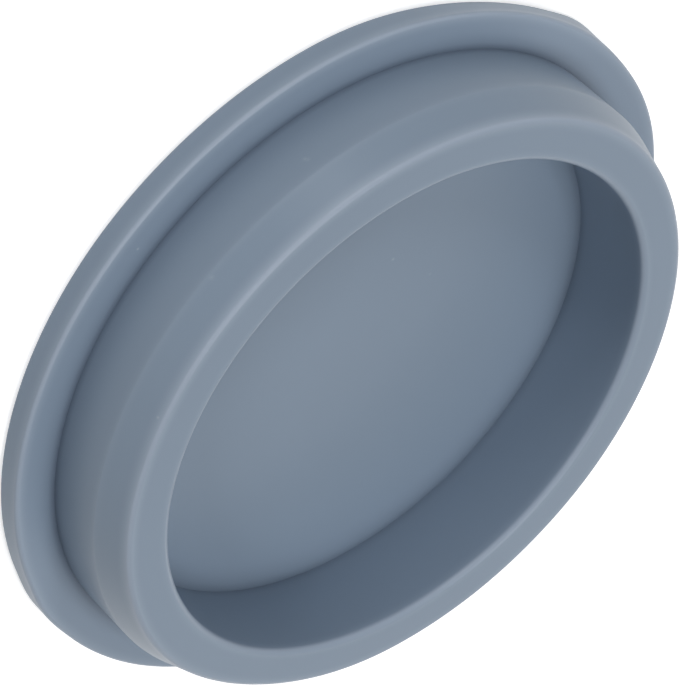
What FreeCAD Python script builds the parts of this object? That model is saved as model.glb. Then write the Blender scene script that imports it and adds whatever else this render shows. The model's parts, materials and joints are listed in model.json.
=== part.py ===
"""Silicone T-stopper: a push-in plug with a flat round head, moulded in one piece.

A thin disc-shaped head covers the port. A short, thick-walled stem stands on it and grips
the bore of the port. The stem is hollow, so that its wall can give as it is pushed in, and
its outside narrows towards the free end to lead it into the bore.

Frame: millimetres, +Z along the axis, from the head towards the open end of the stem.
The origin is the centre of the head's outer face, on which the stopper stands.
"""
import FreeCAD, Part
import math
import os

# Head: the flat disc that stays outside the port
HEAD_DIAMETER = 56.2
HEAD_THICKNESS = 2.2

# Stem: a cylindrical land next to the head, then a tapered lead-in up to the end face
STEM_DIAMETER = 50.0
LAND_LENGTH = 4.6
LEAD_IN_LENGTH = 2.9
LEAD_IN_DEPTH = 0.9

# Cup inside the stem: its wall leans inwards, so that the mouth is narrower than the floor
END_FACE_WIDTH = 3.4
CUP_UNDERCUT = 0.45
WEB_THICKNESS = 2.1

# Moulded edges. The inside corners, at the head and at the cup's floor, are sharp.
HEAD_OUTER_EDGE_BEVEL = 0.4
HEAD_SEAT_EDGE_RADIUS = 0.3
LEAD_IN_BLEND_RADIUS = 0.9
END_FACE_EDGE_RADIUS = 0.4
MOUTH_EDGE_RADIUS = 0.45


class Corner:
    """One corner of the half section: its place in radius and height, and its rounding."""

    def __init__(self, radius, height, rounding=0.0):
        self.point = FreeCAD.Vector(radius, 0, height)
        self.rounding = rounding


def rounding_arc(before, corner, after):
    """The start, middle and end of a corner's arc. All three are the corner where it is sharp."""
    to_before = (before.point - corner.point).normalize()
    to_after = (after.point - corner.point).normalize()
    half_angle = to_before.getAngle(to_after) / 2
    setback = corner.rounding / math.tan(half_angle)
    to_centre = (to_before + to_after).normalize()
    to_middle = corner.rounding / math.sin(half_angle) - corner.rounding
    return (corner.point + to_before * setback,
            corner.point + to_centre * to_middle,
            corner.point + to_after * setback)


def half_section(corners):
    """The closed face that the corners bound, with an arc at each rounded corner."""
    edges = []
    pen = corners[0].point
    for before, corner, after in zip(corners, corners[1:], corners[2:] + corners[:1]):
        start, middle, end = rounding_arc(before, corner, after)
        edges.append(Part.LineSegment(pen, start).toShape())
        if corner.rounding:
            edges.append(Part.Arc(start, middle, end).toShape())
        pen = end
    edges.append(Part.LineSegment(pen, corners[0].point).toShape())
    return Part.Face(Part.Wire(edges))


def make_stopper():
    """The whole stopper: its half section, turned once about the axis."""
    head_radius = HEAD_DIAMETER / 2
    stem_radius = STEM_DIAMETER / 2
    end_radius = stem_radius - LEAD_IN_DEPTH
    mouth_radius = end_radius - END_FACE_WIDTH
    cup_floor_radius = mouth_radius + CUP_UNDERCUT

    land_end = HEAD_THICKNESS + LAND_LENGTH
    end_face = land_end + LEAD_IN_LENGTH

    outline = [
        Corner(0, 0),
        Corner(head_radius - HEAD_OUTER_EDGE_BEVEL, 0),
        Corner(head_radius, HEAD_OUTER_EDGE_BEVEL),
        Corner(head_radius, HEAD_THICKNESS, HEAD_SEAT_EDGE_RADIUS),
        Corner(stem_radius, HEAD_THICKNESS),
        Corner(stem_radius, land_end, LEAD_IN_BLEND_RADIUS),
        Corner(end_radius, end_face, END_FACE_EDGE_RADIUS),
        Corner(mouth_radius, end_face, MOUTH_EDGE_RADIUS),
        Corner(cup_floor_radius, WEB_THICKNESS),
        Corner(0, WEB_THICKNESS),
    ]
    return half_section(outline).revolve(FreeCAD.Vector(0, 0, 0), FreeCAD.Vector(0, 0, 1), 360)


os.makedirs("parts", exist_ok=True)
make_stopper().exportStep("parts/stopper.step")
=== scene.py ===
# %% [markdown]
# # A silicone T-stopper
#
# The stopper is one piece of moulded silicone rubber: a flat round head that covers a
# port, and a short hollow stem that grips the port's bore. This lesson dresses the packed
# model of it. It turns a fine copy of the moulding from its half section, presses its
# edges in and out a little as soft rubber gives, paints it as satin-matt silicone, and
# lights it on a white bench.

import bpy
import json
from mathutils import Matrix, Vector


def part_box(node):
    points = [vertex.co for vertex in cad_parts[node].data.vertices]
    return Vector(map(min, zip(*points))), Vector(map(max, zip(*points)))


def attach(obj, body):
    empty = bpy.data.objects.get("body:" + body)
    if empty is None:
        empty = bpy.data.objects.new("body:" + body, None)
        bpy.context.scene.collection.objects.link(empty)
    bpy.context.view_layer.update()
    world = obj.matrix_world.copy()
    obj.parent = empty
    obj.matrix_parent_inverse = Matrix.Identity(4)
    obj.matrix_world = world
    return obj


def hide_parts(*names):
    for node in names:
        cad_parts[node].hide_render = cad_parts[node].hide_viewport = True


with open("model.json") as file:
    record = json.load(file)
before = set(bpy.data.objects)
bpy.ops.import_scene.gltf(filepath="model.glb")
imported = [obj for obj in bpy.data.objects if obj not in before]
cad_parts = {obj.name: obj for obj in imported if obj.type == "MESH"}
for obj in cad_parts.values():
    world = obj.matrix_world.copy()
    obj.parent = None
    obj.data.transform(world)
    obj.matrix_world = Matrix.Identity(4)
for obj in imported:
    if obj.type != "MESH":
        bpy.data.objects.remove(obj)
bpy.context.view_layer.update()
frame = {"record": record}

# %% Blender and its mathematics
import json
import math

import bpy
from mathutils import Matrix, Vector

print("Blender", bpy.app.version_string)

# %% [markdown]
# ## Sizes
#
# The scene is in metres, and the drawing's sizes are in millimetres. What the packed
# model states is read from it: its box, the radius of the stem's grip, and the height of
# the head's seat. The sizes that it doesn't state are named here.

# %% Sizes of the stopper
MM = 0.001

_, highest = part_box("stopper")
mounts = {mount["name"]: mount for mount in frame["record"]["mounts"]}

head_radius = highest.x
stem_radius = mounts["stem_grip"]["dims"]["r_mm"] * MM
seat_height = mounts["head_seat"]["pos_m"][2]
end_height = highest.z

HEAD_OUTER_EDGE_BEVEL = 0.3 * MM
LAND_LENGTH = 4.6 * MM
LEAD_IN_DEPTH = 0.9 * MM
END_FACE_WIDTH = 3.4 * MM
CUP_UNDERCUT = 0.45 * MM
WEB_THICKNESS = 2.1 * MM

land_end = seat_height + LAND_LENGTH
end_radius = stem_radius - LEAD_IN_DEPTH
mouth_radius = end_radius - END_FACE_WIDTH
cup_floor_radius = mouth_radius + CUP_UNDERCUT

print(f"head {head_radius * 2 / MM:.1f} mm across, {end_height / MM:.1f} mm high")
print(f"mouth of the cup {mouth_radius * 2 / MM:.1f} mm across")

# %% [markdown]
# ## Camera
#
# The photograph looks down into the cup from 34 degrees above the bench, through a long
# lens. The camera is also rolled about its line of sight, so that the stopper's axis
# points down to the right in the picture instead of straight up. A camera could be placed
# by eye, but this one is worked out from the circles of the head, the stem and the cup,
# which it sees as ellipses. Elevation, roll and distance are then set one after the other,
# as on a camera stand.

# %% Put a lens on the camera
SENSOR_WIDTH = 36.0
LENS = 201.7
NEAREST_SEEN = 0.01
FARTHEST_SEEN = 10.0

camera_data = bpy.data.cameras.new("camera")
camera_data.sensor_width = SENSOR_WIDTH
camera_data.lens = LENS
camera_data.clip_start = NEAREST_SEEN
camera_data.clip_end = FARTHEST_SEEN
camera = bpy.data.objects.new("camera", camera_data)
bpy.context.scene.collection.objects.link(camera)
bpy.context.scene.camera = camera

print("lens", LENS, "mm")

# %% [markdown]
# A pixel of the photograph is a direction from the camera. The helper here turns it into
# a place at the stopper's distance, in the camera's own axes: X to the right, Y up, and
# the line of sight along minus Z. Columns and rows are counted from the picture's top left
# corner.

# %% From a pixel to a place before the camera
PHOTO_WIDTH, PHOTO_HEIGHT = 680, 686
CAMERA_DISTANCE = 270.8 * MM

metres_per_pixel = CAMERA_DISTANCE * SENSOR_WIDTH / LENS / max(PHOTO_WIDTH, PHOTO_HEIGHT)


def before_the_camera(column, row):
    """A pixel's place in the camera's own axes, at the stopper's distance."""
    return Vector(((column - PHOTO_WIDTH / 2) * metres_per_pixel,
                   (PHOTO_HEIGHT / 2 - row) * metres_per_pixel,
                   -CAMERA_DISTANCE))


print(f"{MM / metres_per_pixel:.1f} pixels in a millimetre")

# %% Stand the camera
SEAT_CENTRE_IN_PHOTO = (349.5, 352.3)
CAMERA_ELEVATION = math.radians(34.17)
CAMERA_ROLL = math.radians(133.28)

tilt = Matrix.Rotation(math.pi / 2 - CAMERA_ELEVATION, 3, "X")
turn = tilt @ Matrix.Rotation(CAMERA_ROLL, 3, "Z")
seat_centre = Vector((0, 0, seat_height))
camera_place = seat_centre - turn @ before_the_camera(*SEAT_CENTRE_IN_PHOTO)
camera.matrix_world = Matrix.Translation(camera_place) @ turn.to_4x4()

print("camera at", [round(value, 3) for value in camera_place])

# %% [markdown]
# ## Helpers for modelling
#
# An edit-mode operator works on whatever is selected. Picking points by their number
# would be quick, but the numbers change with every step, so each step selects the points
# or edges that it needs by their place, and nothing else.

# %% Selecting by place
def select_nothing(kind):
    """Sets what edit mode selects, VERT or EDGE, clears it, and leaves edit mode off."""
    bpy.ops.object.mode_set(mode="EDIT")
    bpy.ops.mesh.select_mode(type=kind)
    bpy.ops.mesh.select_all(action="DESELECT")
    bpy.ops.object.mode_set(mode="OBJECT")


def select_points(piece, wanted):
    """Leaves edit mode on, with just the points selected whose place passes the test."""
    select_nothing("VERT")
    for vertex in piece.data.vertices:
        vertex.select = wanted(vertex.co)
    bpy.ops.object.mode_set(mode="EDIT")


def select_edges(piece, wanted):
    """Leaves edit mode on, with just the edges selected whose two ends pass the test."""
    select_nothing("EDGE")
    for edge in piece.data.edges:
        first, second = (piece.data.vertices[index].co for index in edge.vertices)
        edge.select = wanted(first, second)
    bpy.ops.object.mode_set(mode="EDIT")


# %% [markdown]
# ## The half section
#
# The real mould was turned on a lathe, so the moulding is round about its axis
# everywhere. It could be built up from a circle by extruding and insetting, but then each
# edge would need its own bevel all the way round. Drawing the half section once is
# closer to the lathe: the outline's corners come first, and are rounded while they are
# still single points. The cup's wall leans inwards, so its floor is wider than its mouth.

# %% Corners of the outline, from the middle of the outer face to the middle of the cup
section = {
    "outer_face_middle": (0, 0),
    "outer_face_rim": (head_radius - HEAD_OUTER_EDGE_BEVEL, 0),
    "head_side_foot": (head_radius, HEAD_OUTER_EDGE_BEVEL),
    "seat_edge": (head_radius, seat_height),
    "stem_foot": (stem_radius, seat_height),
    "land_end": (stem_radius, land_end),
    "end_face_edge": (end_radius, end_height),
    "mouth_edge": (mouth_radius, end_height),
    "cup_floor_edge": (cup_floor_radius, WEB_THICKNESS),
    "cup_middle": (0, WEB_THICKNESS),
}
corners = [Vector((radius, 0, height)) for radius, height in section.values()]

print("corners", list(section))

# %% Draw the outline
START_SIZE = 1 * MM

bpy.ops.object.select_all(action="DESELECT")
bpy.ops.mesh.primitive_plane_add(size=START_SIZE, location=corners[0])
moulding = bpy.context.object
moulding.name = "stopper_moulding"
moulding.data.name = "stopper_moulding"
bpy.ops.object.mode_set(mode="EDIT")
bpy.ops.mesh.merge(type="CENTER")
for corner, next_corner in zip(corners, corners[1:]):
    bpy.ops.mesh.extrude_region_move(TRANSFORM_OT_translate={"value": next_corner - corner})
bpy.ops.object.mode_set(mode="OBJECT")

print("outline points", len(moulding.data.vertices))

# %% [markdown]
# An outside edge of the rubber is an inside corner of the mould, where the lathe tool's
# round nose leaves a small radius, and these roundings catch the light. An inside corner
# of the rubber is an outside edge of the mould, and stays sharp. Beveling the finished
# solid would have to pick out whole rings of edges. Here each rounding is one point's.

# %% Round the corners of the outline
TOUCHING = 0.001 * MM
ARC_PROFILE = 0.5
# Corner, radius, and the number of straight steps that stand for its arc
ROUNDINGS = (
    ("outer_face_rim", 0.3 * MM, 3),
    ("head_side_foot", 0.3 * MM, 3),
    ("seat_edge", 0.3 * MM, 6),
    ("land_end", 0.7 * MM, 4),
    ("end_face_edge", 0.4 * MM, 6),
    ("mouth_edge", 0.5 * MM, 8),
)


def round_corner(name, radius, steps):
    """Rounds one corner of the outline by sliding its point back along both sides."""
    number = list(section).index(name)
    before, corner, after = corners[number - 1:number + 2]
    half_angle = (before - corner).angle(after - corner) / 2
    select_points(moulding, lambda place: (place - corner).length < TOUCHING)
    bpy.ops.mesh.bevel(offset=radius / math.tan(half_angle), segments=steps,
                       profile=ARC_PROFILE, affect="VERTICES", clamp_overlap=False)
    bpy.ops.object.mode_set(mode="OBJECT")


for rounding in ROUNDINGS:
    round_corner(*rounding)

print("rounded outline points", len(moulding.data.vertices))

# %% [markdown]
# The long straight runs are cut into short lengths. A flat face has no need of them, but
# a later step bends the soft rubber a little, and a surface bends only where it has points.

# %% Cut the long runs
LONGEST_RUN = 1.5 * MM


def long_runs_selected():
    """Selects the edges that are still too long, and says whether there are any."""
    select_edges(moulding, lambda first, second: (first - second).length > LONGEST_RUN)
    bpy.ops.object.mode_set(mode="OBJECT")
    found = any(edge.select for edge in moulding.data.edges)
    bpy.ops.object.mode_set(mode="EDIT")
    return found


while long_runs_selected():
    bpy.ops.mesh.subdivide(number_cuts=1)
bpy.ops.object.mode_set(mode="OBJECT")

print("points before the turn", len(moulding.data.vertices))

# %% [markdown]
# ## The turn
#
# Spin carries the outline once round the axis and joins each place to the next. A Screw
# modifier would do the same and could still be changed later, but the next step already
# needs the points. The first and last outlines fall on each other, and so do all the
# points on the axis, so they are merged. The shell is then closed, and its faces are made
# to look outwards.

# %% Turn the half section
TURN_STEPS = 288
MERGE_DISTANCE = 0.004 * MM

bpy.ops.object.mode_set(mode="EDIT")
bpy.ops.mesh.select_mode(type="VERT")
bpy.ops.mesh.select_all(action="SELECT")
bpy.ops.mesh.spin(steps=TURN_STEPS, angle=math.tau, center=(0, 0, 0), axis=(0, 0, 1))
bpy.ops.mesh.select_all(action="SELECT")
bpy.ops.mesh.remove_doubles(threshold=MERGE_DISTANCE)
bpy.ops.mesh.normals_make_consistent(inside=False)
bpy.ops.object.mode_set(mode="OBJECT")

print("faces", len(moulding.data.polygons), "on", len(moulding.data.vertices), "points")

# %% [markdown]
# ## Soft rubber is never quite true
#
# A thin rubber head gives under a finger, and it shrinks a little as it cools, so in the
# photograph its edges leave the circle at a few places, by a quarter of a millimetre or
# so, and by half a millimetre at most. They could be pulled by hand with proportional
# editing. A vertex group and a Displace modifier do it here, because then each press has
# its place and depth written down. The true place of each point is kept as an attribute
# first, so that whatever is painted along an edge later still follows it.

# %% Keep the true place of each point
TRUE_PLACE = "true_place"

true_places = [value for vertex in moulding.data.vertices for value in vertex.co]
kept = moulding.data.attributes.new(TRUE_PLACE, "FLOAT_VECTOR", "POINT")
kept.data.foreach_set("vector", true_places)

print("true places kept", len(kept.data))

# %% Displace by a vertex group or by a pattern
def displace(name, strength, mid_level=0.0, direction="NORMAL", group="", pattern=None):
    """Adds a Displace modifier to the moulding and applies it."""
    bpy.ops.object.select_all(action="DESELECT")
    moulding.select_set(True)
    bpy.context.view_layer.objects.active = moulding
    modifier = moulding.modifiers.new(name, "DISPLACE")
    modifier.strength = strength
    modifier.mid_level = mid_level
    modifier.direction = direction
    modifier.vertex_group = group
    modifier.texture = pattern
    modifier.texture_coords = "LOCAL"
    bpy.ops.object.modifier_apply(modifier=name)


# %% How much of a press each part of the section takes
def on_the_head(place):
    """Nothing at the stem, all of it at the head's edge."""
    outward = (math.hypot(place.x, place.y) - stem_radius) / (head_radius - stem_radius)
    return outward if outward > 0 and place.z < seat_height + TOUCHING else 0.0


def on_the_back_edge(place):
    """All of it at the head's outer edge, nothing at the seat or under the stem."""
    down = 1 - place.z / seat_height
    rim_radius = head_radius - HEAD_OUTER_EDGE_BEVEL
    outward = (math.hypot(place.x, place.y) - stem_radius) / (rim_radius - stem_radius)
    return down * min(outward, 1) if down > 0 and outward > 0 else 0.0


def on_the_lead_in(place):
    """All of it at the end face's outer edge, nothing at the land or at the mouth."""
    up = (place.z - land_end) / (end_height - land_end)
    outward = (math.hypot(place.x, place.y) - mouth_radius) / (end_radius - mouth_radius)
    return up * min(outward, 1) if up > 0 and outward > 0 else 0.0


# %% Press the edges in and draw them out
# Name, part of the section, azimuth and reach to each side in degrees, distance outwards
PRESSES = (
    ("head_pressed_in", on_the_head, 209, 40, -0.20 * MM),
    ("head_drawn_out", on_the_head, 164, 19, 0.22 * MM),
    ("head_drawn_out_again", on_the_head, 350, 9, 0.13 * MM),
    ("back_edge_pressed_in", on_the_back_edge, 213, 27, -0.35 * MM),
    ("back_edge_drawn_out", on_the_back_edge, 190, 9, 0.20 * MM),
    ("lead_in_pressed_in", on_the_lead_in, 22, 34, -0.26 * MM),
)


def mark_press(name, share_at, azimuth, reach):
    """A vertex group that is full at the azimuth and fades to nothing at its reach."""
    group = moulding.vertex_groups.new(name=name)
    for vertex in moulding.data.vertices:
        bearing = math.degrees(math.atan2(vertex.co.y, vertex.co.x))
        away = abs(math.remainder(bearing - azimuth, 360)) / reach
        if away < 1 and share_at(vertex.co) > 0:
            fade = math.cos(away * math.pi / 2) ** 2
            group.add([vertex.index], share_at(vertex.co) * fade, "REPLACE")


for name, share_at, azimuth, reach, _ in PRESSES:
    mark_press(name, share_at, azimuth, reach)

for name, _, azimuth, _, outwards in PRESSES:
    bearing = math.radians(azimuth)
    displace(f"{name}_x", outwards * math.cos(bearing), direction="X", group=name)
    displace(f"{name}_y", outwards * math.sin(bearing), direction="Y", group=name)

print("pressed", [name for name, *_ in PRESSES])

# %% [markdown]
# The skin of a moulding isn't dead flat either. A cloud pattern pulls it in by a few
# hundredths of a millimetre, which is enough to make the broad highlights uneven.

# %% Pull the skin in here and there
WAVE_LENGTH = 9 * MM
WAVE_DEPTH = 0.03 * MM

waves = bpy.data.textures.new("moulding_waves", "CLOUDS")
waves.noise_scale = WAVE_LENGTH
waves.noise_depth = 0
displace("moulding_waves", WAVE_DEPTH, mid_level=1.0, pattern=waves)
moulding.vertex_groups.clear()

print("box of the moulding in mm", [round(size / MM, 2) for size in moulding.dimensions])

# %% [markdown]
# ## Smooth shading
#
# The faces are shaded smooth, except across the two sharp inside corners, where the stem
# stands on the head and where the cup's wall meets its floor. Weighted Normal then lets
# the large flat faces decide the shading beside each small rounding. Without it, the
# shading of each rounding would spill onto the flat beside it.

# %% Smooth shading
SHARP_FROM = math.radians(40)

bpy.ops.object.shade_smooth_by_angle(angle=SHARP_FROM)
weighting = moulding.modifiers.new("face_weighting", "WEIGHTED_NORMAL")
weighting.keep_sharp = True
bpy.ops.object.modifier_apply(modifier=weighting.name)

print("sharp edges", sum(edge.use_edge_sharp for edge in moulding.data.edges))

# %% [markdown]
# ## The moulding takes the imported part's place
#
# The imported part's own mesh stays for collision and is hidden. The fine copy stands for it
# in the picture. It has no joint to move with, so it rides on the one body there is.

# %% Fix the moulding to the frame
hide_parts("stopper")
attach(moulding, "root")

print(moulding.name, "stands for the stopper")

# %% [markdown]
# ## Helpers for materials
#
# A colour is written as the hex value that a paint program shows. A shader wants it
# linear, so one function turns it. Another adds a node with its settings and links.

# %% Colours and nodes
def linear(hex_colour):
    """An sRGB colour such as "8696a8" as the linear values that a shader takes."""
    channels = (int(hex_colour[i:i + 2], 16) / 255 for i in (0, 2, 4))
    return [c / 12.92 if c <= 0.04045 else ((c + 0.055) / 1.055) ** 2.4 for c in channels] + [1.0]


def add_node(owner, kind, settings, links):
    """A new node. Settings go to its sockets, by name or number, or to its properties."""
    node = owner.node_tree.nodes.new(kind)
    for key, value in settings.items():
        if isinstance(key, int) or key in node.inputs:
            node.inputs[key].default_value = value
        else:
            setattr(node, key, value)
    for key, source in links.items():
        owner.node_tree.links.new(source, node.inputs[key])
    return node


# %% A mix of two colours
MIX_FACTOR, MIX_FIRST, MIX_SECOND = 0, 6, 7
MIX_RESULT = 2


def mix_colours(material, factor, first, second):
    """A mix of two colours, each of them a hex value or another node's output."""
    settings = {"data_type": "RGBA"}
    links = {MIX_FACTOR: factor}
    for socket, colour in ((MIX_FIRST, first), (MIX_SECOND, second)):
        if isinstance(colour, str):
            settings[socket] = linear(colour)
        else:
            links[socket] = colour
    return add_node(material, "ShaderNodeMix", settings, links).outputs[MIX_RESULT]


# %% [markdown]
# Edges, creases and specks are all painted as marks. A mark is strongest at its centre and
# fades out at its reach, steeply first and then gently. Where marks overlap, the stronger
# one counts. Both helpers work on the root of the strength, and the last node squares it.

# %% Marks round a centre
FADE_POWER = 2.0


def mark(owner, point, centre, strength, reach):
    """The root of a mark's strength at its centre, falling evenly to 0 at its reach."""
    away = add_node(owner, "ShaderNodeVectorMath", {"operation": "DISTANCE", 1: centre},
                    {0: point})
    fall = {"From Min": 0, "From Max": reach, "To Min": strength ** (1 / FADE_POWER), "To Max": 0}
    faded = add_node(owner, "ShaderNodeMapRange", fall, {"Value": away.outputs["Value"]})
    return faded.outputs["Result"]


def strongest(owner, marks):
    """The strongest of some marks, brought from its root to its strength."""
    total = marks[0]
    for other in marks[1:]:
        larger = add_node(owner, "ShaderNodeMath", {"operation": "MAXIMUM"},
                          {0: total, 1: other})
        total = larger.outputs["Value"]
    power = add_node(owner, "ShaderNodeMath", {"operation": "POWER", 1: FADE_POWER}, {0: total})
    return power.outputs["Value"]


# %% [markdown]
# ## Silicone rubber
#
# Silicone is moulded in a finely blasted tool. The rubber copies that grain, so it looks
# satin: broad, weak highlights on the round walls and no mirror image. It is pigmented
# right through, but light still goes a short way in. At an edge the light soon comes out
# again, so every edge has a pale line. In a sharp inside corner it is lost, and the corner
# keeps light out, so the two creases are dark. Subsurface scattering with a real reach is
# too weak to show this at the scale of the picture, so both are painted light in the base
# colour: painted highlights along the edges, and painted shade in the creases. Each is a
# round mark in the half section, beside its corner, so it runs all the way round the stopper.

# %% Where the painted highlights and the painted shade run
# Corner of the section, distance outwards and upwards from it, strength, reach
# Painted highlights: the pale lines along the outside edges
PAINTED_HIGHLIGHT_LINES = (
    ("outer_face_rim", 0.0, 0.0, 0.3, 1.0 * MM),
    ("seat_edge", -0.09 * MM, -0.09 * MM, 0.7, 1.0 * MM),
    ("land_end", 0.0, 0.0, 0.15, 0.8 * MM),
    ("end_face_edge", -0.03 * MM, -0.18 * MM, 0.85, 1.0 * MM),
    ("mouth_edge", 0.10 * MM, -0.20 * MM, 0.65, 1.0 * MM),
)
# Painted shade: each crease is a narrow dark line in a wide weak shade, where the corner keeps
# light out
PAINTED_SHADE_LINES = (
    ("stem_foot", 0.05 * MM, 0.0, 1.0, 1.1 * MM),
    ("stem_foot", 0.0, 0.0, 0.4, 3.5 * MM),
    ("cup_floor_edge", -0.05 * MM, 0.0, 0.5, 1.0 * MM),
    ("cup_floor_edge", -2.0 * MM, 0.0, 0.1, 4.0 * MM),
)


def place_in_section(material):
    """Each point's radius and height, as X and Y, from its true place."""
    place = add_node(material, "ShaderNodeAttribute", {"attribute_name": TRUE_PLACE}, {})
    true_point = place.outputs["Vector"]
    across = add_node(material, "ShaderNodeVectorMath",
                      {"operation": "MULTIPLY", 1: (1, 1, 0)}, {0: true_point})
    radius = add_node(material, "ShaderNodeVectorMath", {"operation": "LENGTH"},
                      {0: across.outputs["Vector"]})
    height = add_node(material, "ShaderNodeSeparateXYZ", {}, {0: true_point})
    both = {"X": radius.outputs["Value"], "Y": height.outputs["Z"]}
    return add_node(material, "ShaderNodeCombineXYZ", {}, both).outputs["Vector"]


def painted_lines(material, section_point, lines):
    """Circles beside the named corners of the section, as one factor."""
    marks = []
    for name, outwards, upwards, strength, reach in lines:
        centre = (section[name][0] + outwards, section[name][1] + upwards, 0)
        marks.append(mark(material, section_point, centre, strength, reach))
    return strongest(material, marks)


print("lines", len(PAINTED_HIGHLIGHT_LINES), "pale and", len(PAINTED_SHADE_LINES), "dark")

# %% [markdown]
# Silicone is slightly tacky, so it picks lint up. The photograph shows a few pale specks,
# each a tenth or two of a millimetre wide. They could be scattered at random, but the
# photograph has only these few, so each is named by its pixel, and a ray from the camera
# finds the place on the rubber that carries it.

# %% Find the specks of lint
# Column and row in the photograph, strength, reach
SPECKS = (
    (158.0, 417.5, 0.7, 0.20 * MM),
    (137.9, 249.0, 0.7, 0.18 * MM),
    (393.1, 259.3, 0.45, 0.25 * MM),
    (305.0, 159.0, 0.25, 0.30 * MM),
    (308.0, 159.3, 0.2, 0.30 * MM),
    (211.5, 277.5, 0.2, 0.35 * MM),
    (430.0, 274.0, 0.2, 0.25 * MM),
)


def place_seen_at(column, row):
    """The place on the moulding that the camera sees at a pixel of the photograph."""
    direction = turn @ before_the_camera(column, row)
    _, place, _, _ = moulding.ray_cast(camera_place, direction)
    return place


lint = [(place_seen_at(column, row), strength, reach) for column, row, strength, reach in SPECKS]

print("specks at", [[round(value / MM, 1) for value in place] for place, *_ in lint])

# %% [markdown]
# The finish is uneven in two ways. A cloudy mottle of up to one percent comes from the
# pigment, and keeps the broad faces from looking printed. The grain is a bump: a blasted
# tool leaves pits of about 0.03 mm, too fine for the picture, so they are drawn four times
# as coarse, which is a pixel or two. Both are noise on Object coordinates, so they stay
# with the rubber from every side.

# %% Mottle and grain
MOTTLE_SIZE = 7 * MM
MOTTLE_DARK, MOTTLE_LIGHT = 0.985, 1.015
MOTTLE_OCTAVES = 3.0
GRAIN_SIZE = 0.12 * MM
GRAIN_DEPTH = 0.004 * MM
GRAIN_STRENGTH = 0.5
GRAIN_OCTAVES = 2.0


def mottled(material, colour, place):
    """The colour, a little lighter and darker in clouds."""
    clouds = {"Scale": 1 / MOTTLE_SIZE, "Detail": MOTTLE_OCTAVES}
    mottle = add_node(material, "ShaderNodeTexNoise", clouds, {"Vector": place})
    tone = add_node(material, "ShaderNodeMapRange",
                    {"To Min": MOTTLE_DARK, "To Max": MOTTLE_LIGHT},
                    {"Value": mottle.outputs["Fac"]})
    toned = add_node(material, "ShaderNodeVectorMath", {"operation": "SCALE"},
                     {0: colour, "Scale": tone.outputs["Result"]})
    return toned.outputs["Vector"]


def grain_of_the_tool(material, place):
    """The blasted tool's fine pits, as a bump."""
    pits = {"Scale": 1 / GRAIN_SIZE, "Detail": GRAIN_OCTAVES}
    grain = add_node(material, "ShaderNodeTexNoise", pits, {"Vector": place})
    bump = add_node(material, "ShaderNodeBump",
                    {"Strength": GRAIN_STRENGTH, "Distance": GRAIN_DEPTH},
                    {"Height": grain.outputs["Fac"]})
    return bump.outputs["Normal"]


print(f"grain of {GRAIN_SIZE / metres_per_pixel:.1f} pixels")

# %% Satin-matt moulded silicone
SILICONE_BLUE_GREY = "8696a8"
# Colour of the painted highlight along the edges
PAINTED_EDGE_HIGHLIGHT = "a7b3c3"
# Colour of the painted shade in the creases
PAINTED_CREASE_SHADE = "6a788a"
PALE_LINT = "b4bcc6"
# Silicone bends light less than most plastics, so what it mirrors is weak
SILICONE_IOR = 1.41
# Smoother than matt and rougher than gloss: the lights leave wide, soft-edged patches
SATIN_ROUGHNESS = 0.38
# Under the usual 0.5, so that the bench, mirrored at a low angle, doesn't whiten the walls
GRAZING_SHEEN = 0.35


def make_silicone():
    """Satin-matt silicone rubber with painted edge highlights, painted crease shade, lint, mottle
    and grain.
    """
    material = bpy.data.materials.new("moulded_satin_silicone")
    material.use_nodes = True
    shader = material.node_tree.nodes["Principled BSDF"]
    shader.inputs["Roughness"].default_value = SATIN_ROUGHNESS
    shader.inputs["IOR"].default_value = SILICONE_IOR
    shader.inputs["Specular IOR Level"].default_value = GRAZING_SHEEN

    section_point = place_in_section(material)
    # Painted highlights along the edges
    edges = painted_lines(material, section_point, PAINTED_HIGHLIGHT_LINES)
    # Painted shade in the creases
    creases = painted_lines(material, section_point, PAINTED_SHADE_LINES)
    place = add_node(material, "ShaderNodeTexCoord", {}, {}).outputs["Object"]
    specks = strongest(material, [mark(material, place, *speck) for speck in lint])

    # The pale edge lines are painted highlights
    colour = mix_colours(material, edges, SILICONE_BLUE_GREY, PAINTED_EDGE_HIGHLIGHT)
    # The dark crease lines are painted shade
    colour = mix_colours(material, creases, colour, PAINTED_CREASE_SHADE)
    colour = mix_colours(material, specks, colour, PALE_LINT)
    colour = mottled(material, colour, place)
    material.node_tree.links.new(colour, shader.inputs["Base Color"])
    normal = grain_of_the_tool(material, place)
    material.node_tree.links.new(normal, shader.inputs["Normal"])
    return material


silicone = make_silicone()
moulding.data.materials.clear()
moulding.data.materials.append(silicone)

print("nodes in the silicone", len(silicone.node_tree.nodes))

# %% [markdown]
# ## Bench and light
#
# The photograph's background is plain white. More light would burn out the rubber too, so
# the bench glows by itself, but only for rays that come from the camera or from a
# reflection. Its own colour still takes the stopper's shadow. The world beyond the bench
# is treated the same way: white to the eye, and almost dark as a light. A studio has a
# curved sheet behind the bench, but one flat plane is enough where the camera looks down.

# %% Rays that see, and rays that light
def seen_or_mirrored(owner):
    """1 for a ray that the camera or a reflecting or clear surface sends, 0 for light."""
    path = add_node(owner, "ShaderNodeLightPath", {}, {}).outputs
    seen = add_node(owner, "ShaderNodeMath", {"operation": "MAXIMUM"},
                    {0: path["Is Camera Ray"], 1: path["Is Glossy Ray"]})
    either = add_node(owner, "ShaderNodeMath", {"operation": "MAXIMUM"},
                      {0: seen.outputs["Value"], 1: path["Is Transmission Ray"]})
    return either.outputs["Value"]


# %% White bench
BENCH_SIZE = 4.0
BENCH_WHITE = "e0e0e0"
BENCH_ROUGHNESS = 0.9
# With what the lamps add round the stopper, this makes a full white
BENCH_GLOW = 0.65
PURE_WHITE = "ffffff"

bpy.ops.object.select_all(action="DESELECT")
bpy.ops.mesh.primitive_plane_add(size=BENCH_SIZE, location=(0, 0, 0))
bench = bpy.context.object
bench.name = "bench"


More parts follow.
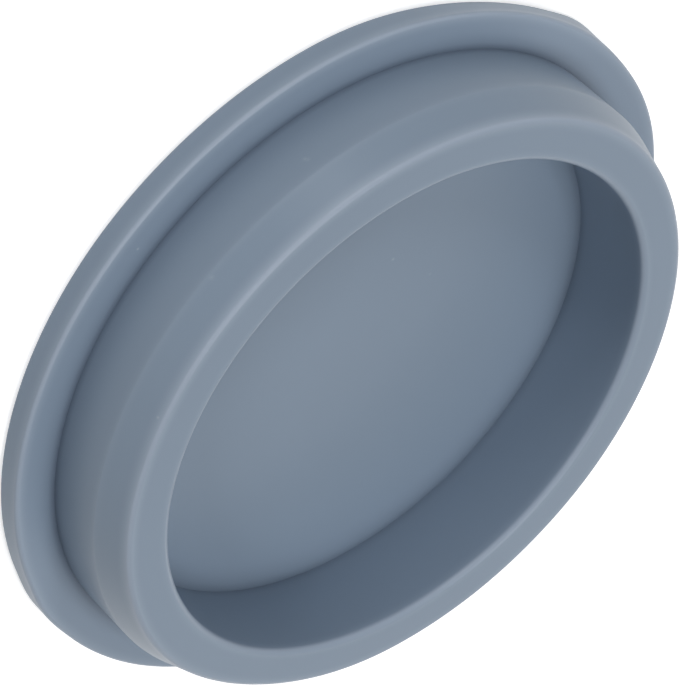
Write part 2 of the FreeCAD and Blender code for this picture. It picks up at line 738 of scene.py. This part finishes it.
def make_bench_paper():
    """Matt white paper that glows for the camera and in reflections."""
    material = bpy.data.materials.new("matt_white_paper")
    material.use_nodes = True
    shader = material.node_tree.nodes["Principled BSDF"]
    shader.inputs["Base Color"].default_value = linear(BENCH_WHITE)
    shader.inputs["Roughness"].default_value = BENCH_ROUGHNESS
    shader.inputs["Emission Color"].default_value = linear(PURE_WHITE)
    glow = add_node(material, "ShaderNodeMath", {"operation": "MULTIPLY", 1: BENCH_GLOW},
                    {0: seen_or_mirrored(material)})
    material.node_tree.links.new(glow.outputs["Value"], shader.inputs["Emission Strength"])
    return material


bench.data.materials.append(make_bench_paper())

print("bench", BENCH_SIZE, "m square")

# %% [markdown]
# Six soft lights do the rest: one overhead for the flat faces, two behind for the sheen
# that those faces turn to the camera, and three on the camera's side for the walls that
# face it. They were chosen by rendering the stopper under one light at a time, and adding
# the pictures up until their sum had the photograph's shades on each surface.

# %% Soft lights
LIGHT_DISTANCE = 0.8
LIGHTS_MEET_AT = (0, 0, 5 * MM)
# Name, azimuth and elevation in degrees, width and height in metres, watts
SOFTBOXES = (
    ("top_softbox", 0, 90, 0.4, 0.4, 3.2),
    ("back_softbox", 90, 15, 0.8, 0.4, 0.9),
    ("high_back_softbox", 90, 60, 0.4, 0.4, 0.3),
    ("near_softbox", 235, 30, 0.15, 0.2, 1.2),
    ("near_side_softbox", 300, 30, 0.15, 0.2, 1.0),
    ("low_near_softbox", 240, 6, 0.15, 0.12, 0.8),
)


def around(azimuth, elevation):
    """A place at the lights' distance, by its bearing and height in degrees."""
    flat = LIGHT_DISTANCE * math.cos(math.radians(elevation))
    return Vector((flat * math.cos(math.radians(azimuth)),
                   flat * math.sin(math.radians(azimuth)),
                   LIGHT_DISTANCE * math.sin(math.radians(elevation))))


def add_softbox(name, azimuth, elevation, width, height, watts):
    """A soft rectangular light that faces the stopper."""
    data = bpy.data.lights.new(name, "AREA")
    data.shape = "RECTANGLE"
    data.size = width
    data.size_y = height
    data.energy = watts
    lamp = bpy.data.objects.new(name, data)
    bpy.context.scene.collection.objects.link(lamp)
    lamp.location = around(azimuth, elevation)
    facing = Vector(LIGHTS_MEET_AT) - lamp.location
    lamp.rotation_euler = facing.to_track_quat("-Z", "Y").to_euler()


for softbox in SOFTBOXES:
    add_softbox(*softbox)

print("lights", [name for name, *_ in SOFTBOXES])

# %% The world around the bench
AMBIENT = 0.02
WHITE_TO_THE_EYE = 1.0

world = bpy.data.worlds.new("studio")
bpy.context.scene.world = world
world.use_nodes = True
background = world.node_tree.nodes["Background"]
background.inputs["Color"].default_value = linear(PURE_WHITE)
strength = add_node(world, "ShaderNodeMapRange", {"To Min": AMBIENT, "To Max": WHITE_TO_THE_EYE},
                    {"Value": seen_or_mirrored(world)})
world.node_tree.links.new(strength.outputs["Result"], background.inputs["Strength"])

bpy.context.scene.view_settings.view_transform = "Standard"

print("world lights with", AMBIENT)
